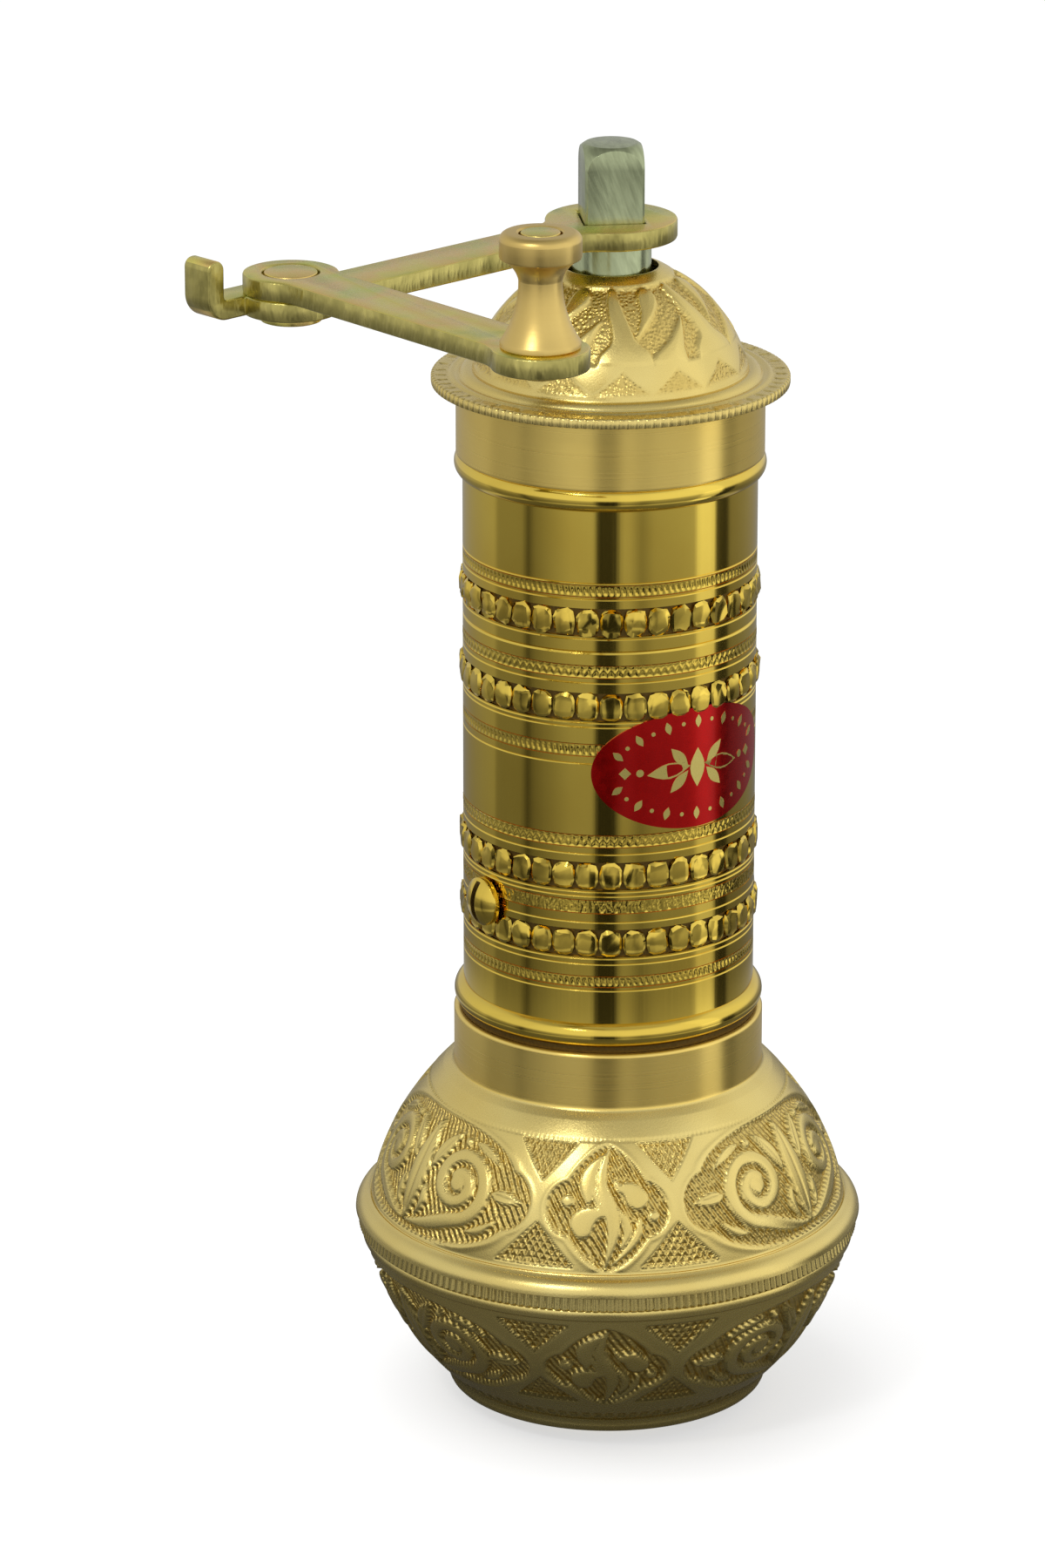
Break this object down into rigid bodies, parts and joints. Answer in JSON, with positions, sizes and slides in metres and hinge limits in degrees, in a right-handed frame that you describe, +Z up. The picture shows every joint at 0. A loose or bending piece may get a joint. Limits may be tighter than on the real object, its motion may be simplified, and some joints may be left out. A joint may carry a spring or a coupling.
{
  "type": "hand coffee mill",
  "caption": "Tall brass hand coffee mill: a banded tube with a burr mill in its foot, under a domed lid with a folding crank, standing on a round cup that catches the grounds.",
  "frame": {"origin": "centre of the flat foot that the mill stands on, on the mill's axis", "axes": "+Z up the mill's axis, -Y towards the viewer of the picture, +X to the viewer's right"},
  "size_m": [0.1011, 0.1331, 0.21],
  "materials": {
    "polished_brass": "polished, lacquered",
    "cast_brass": "satin cast, engraved",
    "satin_brass": "satin turned",
    "bright_steel": "bright drawn, filed flats",
    "zinc_plate": "yellow passivated zinc",
    "burr_iron": "as cast, ground teeth",
    "red_foil": "metallic foil"
  },
  "bodies": {
    "receiver": {"receiver_bowl": "cast_brass", "receiver_shoulder": "cast_brass"},
    "mill": {"main_tube": "polished_brass", "foil_label": "red_foil", "bridge_screws": "polished_brass", "upper_bridge": "burr_iron", "guide_bush": "satin_brass", "outer_burr": "burr_iron", "lower_bridge": "burr_iron", "lower_bridge_screws": "bright_steel"},
    "lid": {"lid": "cast_brass"},
    "spindle": {"shaft": "bright_steel", "inner_burr": "burr_iron", "burr_pin": "bright_steel"},
    "crank_inner": {"crank_inner_arm": "zinc_plate", "elbow_rivet": "zinc_plate"},
    "crank_outer": {"crank_outer_arm": "zinc_plate", "knob_pin": "zinc_plate"},
    "knob": {"knob": "satin_brass"},
    "adjuster": {"adjusting_screw": "bright_steel"},
    "lock_nut": {"lock_nut": "bright_steel"}
  },
  "joints": [
    {"name": "mill_lift", "type": "slide", "parent": "receiver", "child": "mill", "axis": [0, 0, 1], "range_m": [0, 0.05]},
    {"name": "lid_lift", "type": "slide", "parent": "mill", "child": "lid", "axis": [0, 0, 1], "range_m": [0, 0.05]},
    {"name": "crank_turn", "type": "hinge", "parent": "mill", "child": "spindle", "pos_m": [0, 0, 0.19], "axis": [0, 0, 1], "continuous": true},
    {"name": "crank_lift", "type": "slide", "parent": "spindle", "child": "crank_inner", "axis": [0, 0, 1], "range_m": [0, 0.05]},
    {"name": "elbow_fold", "type": "hinge", "parent": "crank_inner", "child": "crank_outer", "pos_m": [-0.04625, -0.04482, 0.1905], "axis": [0, 0, 1], "range_deg": [-72, 80]},
    {"name": "knob_spin", "type": "hinge", "parent": "crank_outer", "child": "knob", "pos_m": [-0.00976, -0.0865, 0.1935], "axis": [0, 0, 1], "continuous": true},
    {"name": "adjuster_turn", "type": "hinge", "parent": "mill", "child": "adjuster", "pos_m": [0, 0, 0.045], "axis": [0, 0, 1], "range_deg": [-360, 360]},
    {"name": "lock_nut_turn", "type": "hinge", "parent": "mill", "child": "lock_nut", "pos_m": [0, 0, 0.05], "axis": [0, 0, 1], "range_deg": [0, 90]}
  ],
  "couplings": [
    {"joint": "crank_lift", "follows": "lid_lift", "ratio": 1}
  ]
}
